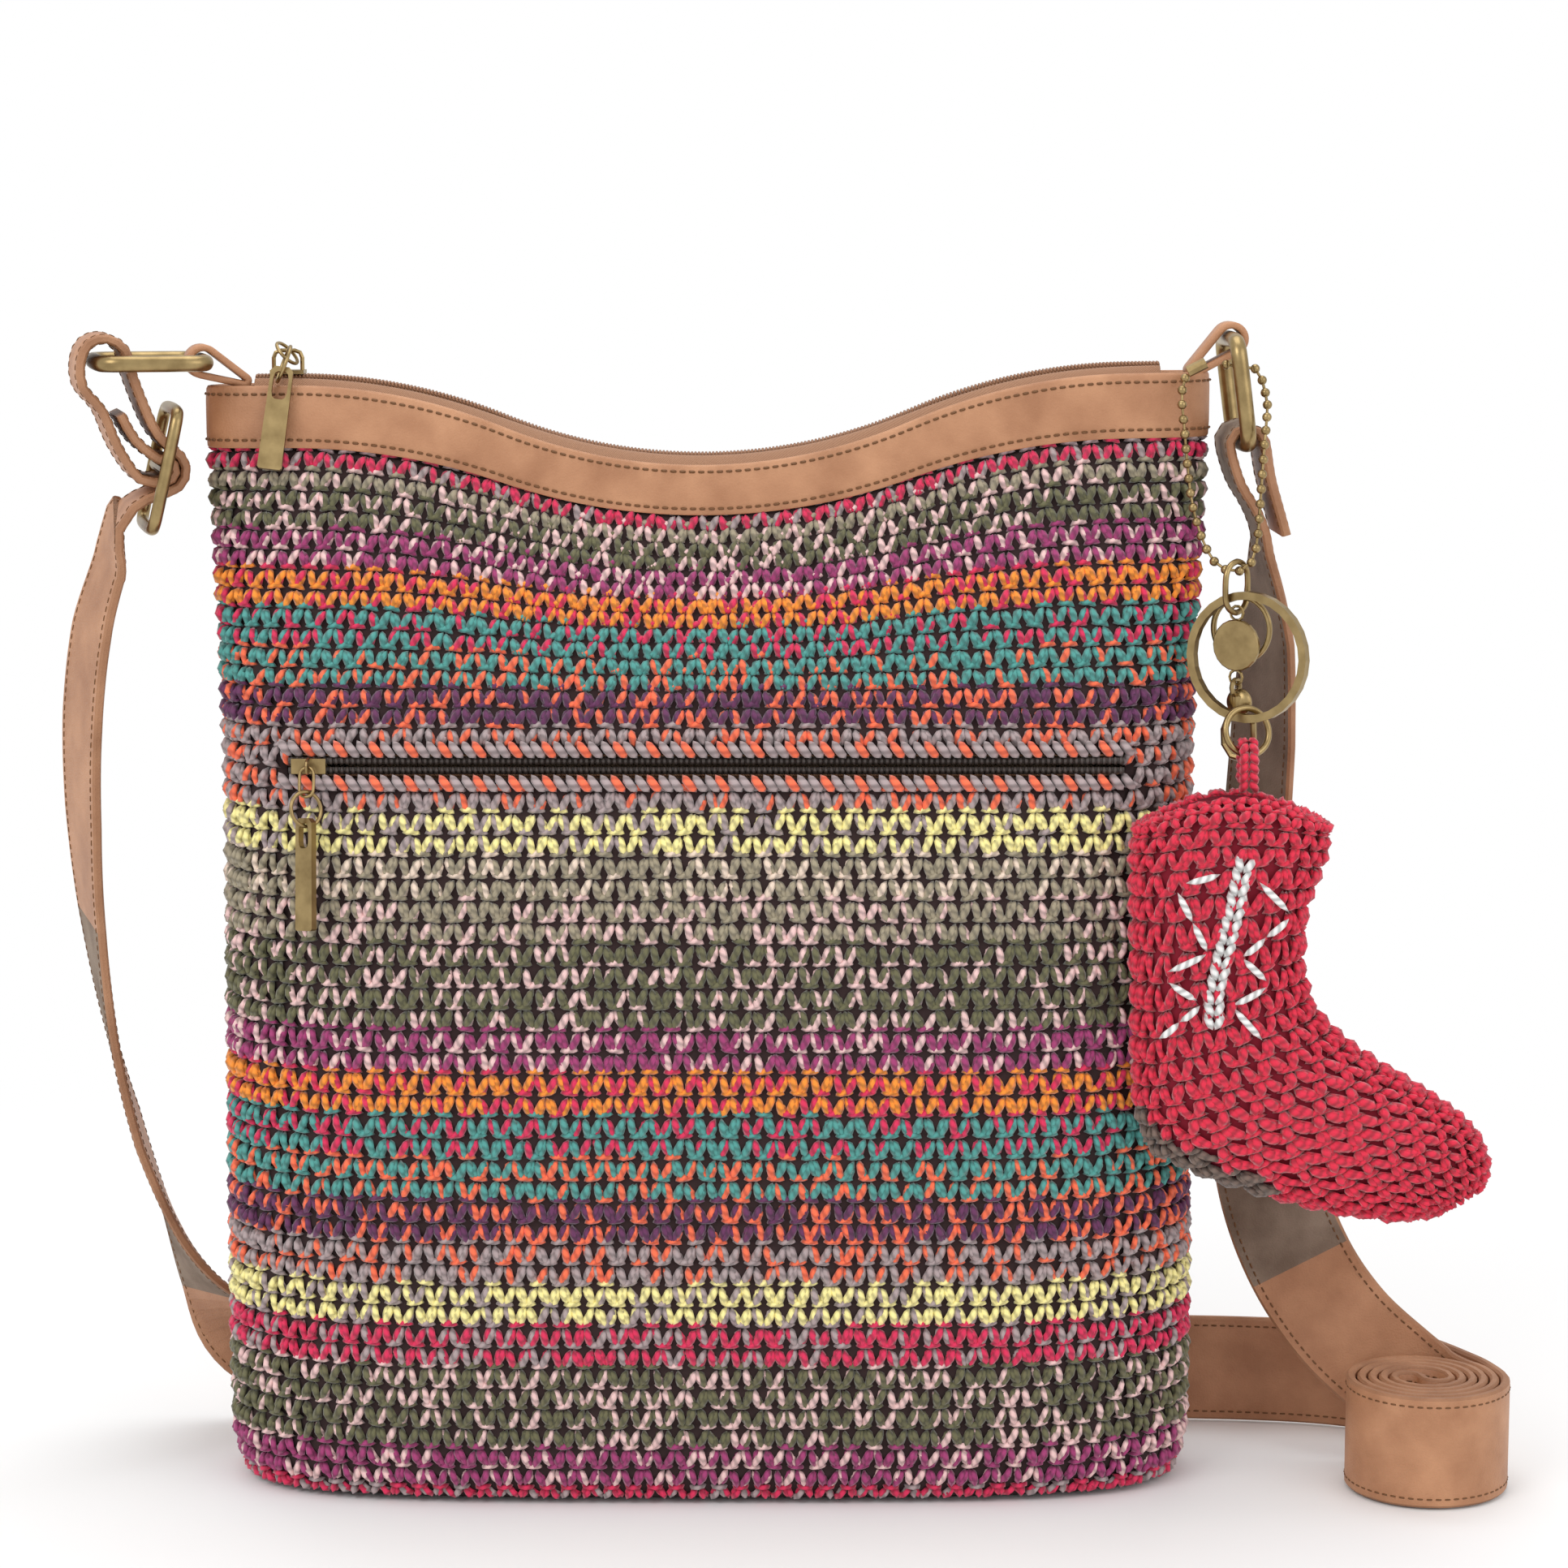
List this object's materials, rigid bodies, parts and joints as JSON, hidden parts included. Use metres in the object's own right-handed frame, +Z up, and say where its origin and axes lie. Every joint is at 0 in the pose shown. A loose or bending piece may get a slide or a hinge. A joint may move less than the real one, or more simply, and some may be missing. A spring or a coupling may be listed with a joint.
{
  "type": "crochet crossbody bag",
  "caption": "Striped crochet crossbody bag with a leather-banded zip mouth, a zipped front pocket, a long rolled strap on metal rings and a crochet boot charm.",
  "frame": {"origin": "middle of the bag's base, on the surface it stands on", "axes": "+Z up out of the mouth, +X to the wearer's right of the pocket side as seen from the front, -Y out of the front pocket side"},
  "size_m": [0.4168, 0.1016, 0.3327],
  "materials": {
    "yarn": "striped matte yarn",
    "lining": "matte",
    "leather": "satin",
    "tape": "matte",
    "coil": "satin",
    "dark_coil": "satin",
    "brass": "antique",
    "boot_yarn": "matte yarn"
  },
  "bodies": {
    "bag": {"crochet_body": "yarn", "lining_bag": "lining", "top_band": "leather", "main_tape_front": "tape", "main_tape_back": "tape", "main_coil_front": "coil", "main_coil_back": "coil", "pocket_pouch": "lining", "pocket_tape_upper": "tape", "pocket_tape_lower": "tape", "pocket_coil_upper": "dark_coil", "pocket_coil_lower": "dark_coil", "left_ring_tab": "leather", "right_ring_tab": "leather", "strap": "leather", "ball_chain": "brass", "chain_connector": "brass", "buckle_bar": "brass"},
    "main_slider": {"main_slider": "brass"},
    "main_link_upper": {"main_link_upper": "brass"},
    "main_link_lower": {"main_link_lower": "brass"},
    "main_pull_tab": {"main_pull_tab": "brass"},
    "pocket_slider": {"pocket_slider": "brass"},
    "pocket_pull_loop": {"pocket_pull_loop": "brass"},
    "pocket_pull_ring": {"pocket_pull_ring": "brass"},
    "pocket_pull_tab": {"pocket_pull_tab": "brass"},
    "left_ring": {"left_ring": "brass"},
    "right_ring": {"right_ring": "brass"},
    "buckle": {"buckle_frame": "brass"},
    "oval_link": {"oval_link": "brass"},
    "key_ring": {"key_ring": "brass"},
    "inner_ring": {"inner_ring": "brass"},
    "medallion": {"medallion": "brass"},
    "snap_hook": {"snap_hook": "brass"},
    "snap_gate": {"snap_gate": "brass"},
    "charm_ring": {"charm_ring": "brass"},
    "boot": {"boot_loop": "boot_yarn", "boot_body": "boot_yarn"}
  },
  "joints": [
    {"name": "main_slider_travel", "type": "hinge", "parent": "bag", "child": "main_slider", "pos_m": [-0.11577, 0, 0.15885], "axis": [0, 1, 0], "range_deg": [0, 20.5]},
    {"name": "main_link_upper_swing", "type": "hinge", "parent": "main_slider", "child": "main_link_upper", "pos_m": [-0.118, 0, 0.32469], "axis": [1, 0, 0], "range_deg": [-20, 1]},
    {"name": "main_link_lower_swing", "type": "hinge", "parent": "main_link_upper", "child": "main_link_lower", "pos_m": [-0.118, -0.00516, 0.323], "axis": [1, 0, 0], "range_deg": [-8, 1]},
    {"name": "main_pull_tab_swing", "type": "hinge", "parent": "main_link_lower", "child": "main_pull_tab", "pos_m": [-0.118, -0.01378, 0.31921], "axis": [1, 0, 0], "range_deg": [-6, 2]},
    {"name": "pocket_slider_travel", "type": "slide", "parent": "bag", "child": "pocket_slider", "axis": [1, 0, 0], "range_m": [0, 0.218]},
    {"name": "pocket_pull_loop_swing", "type": "hinge", "parent": "pocket_slider", "child": "pocket_pull_loop", "pos_m": [-0.11, -0.0399, 0.2117], "axis": [1, 0, 0], "range_deg": [-20, 1]},
    {"name": "pocket_pull_ring_swing", "type": "hinge", "parent": "pocket_pull_loop", "child": "pocket_pull_ring", "pos_m": [-0.11, -0.041, 0.20376], "axis": [1, 0, 0], "range_deg": [-8, 2]},
    {"name": "pocket_pull_tab_swing", "type": "hinge", "parent": "pocket_pull_ring", "child": "pocket_pull_tab", "pos_m": [-0.11002, -0.04354, 0.19577], "axis": [1, 0, 0], "range_deg": [-6, 1]},
    {"name": "left_ring_swing", "type": "hinge", "parent": "bag", "child": "left_ring", "pos_m": [-0.1418, -0.0032, 0.3218], "axis": [0.2419, -0.9703, 0], "range_deg": [-1, 2]},
    {"name": "right_ring_swing", "type": "hinge", "parent": "bag", "child": "right_ring", "pos_m": [0.1468, 0, 0.328], "axis": [0, 1, 0], "range_deg": [-1.5, 1.5]},
    {"name": "buckle_tilt", "type": "hinge", "parent": "bag", "child": "buckle", "pos_m": [-0.15383, -0.0062, 0.2922], "axis": [0.2419, -0.9703, 0], "range_deg": [-3, 3]},
    {"name": "oval_link_swing", "type": "hinge", "parent": "bag", "child": "oval_link", "pos_m": [0.1465, -0.029, 0.2667], "axis": [1, 0, 0], "range_deg": [-12, 0.3]},
    {"name": "key_ring_swing", "type": "hinge", "parent": "oval_link", "child": "key_ring", "pos_m": [0.14519, -0.03031, 0.2568], "axis": [1, 0, 0], "range_deg": [-5, 0]},
    {"name": "inner_ring_swing", "type": "hinge", "parent": "oval_link", "child": "inner_ring", "pos_m": [0.14823, -0.02727, 0.2579], "axis": [1, 0, 0], "range_deg": [-0.5, 3]},
    {"name": "medallion_swing", "type": "hinge", "parent": "oval_link", "child": "medallion", "pos_m": [0.14675, -0.02875, 0.25535], "axis": [1, 0, 0], "range_deg": [-0.5, 1]},
    {"name": "snap_hook_turn", "type": "hinge", "parent": "medallion", "child": "snap_hook", "pos_m": [0.14675, -0.02875, 0.23397], "axis": [0, 0, 1], "range_deg": [-12, 12]},
    {"name": "snap_gate_open", "type": "hinge", "parent": "snap_hook", "child": "snap_gate", "pos_m": [0.15073, -0.02905, 0.22487], "axis": [0.5878, 0.809, 0], "range_deg": [0, 16], "stiffness_Nm_per_rad": 0.002},
    {"name": "charm_ring_swing", "type": "hinge", "parent": "key_ring", "child": "charm_ring", "pos_m": [0.14938, -0.03303, 0.2276], "axis": [1, 0, 0], "range_deg": [-6, 0]},
    {"name": "boot_swing", "type": "hinge", "parent": "charm_ring", "child": "boot", "pos_m": [0.14938, -0.03705, 0.21482], "axis": [1, 0, 0], "range_deg": [-6, 0]}
  ]
}
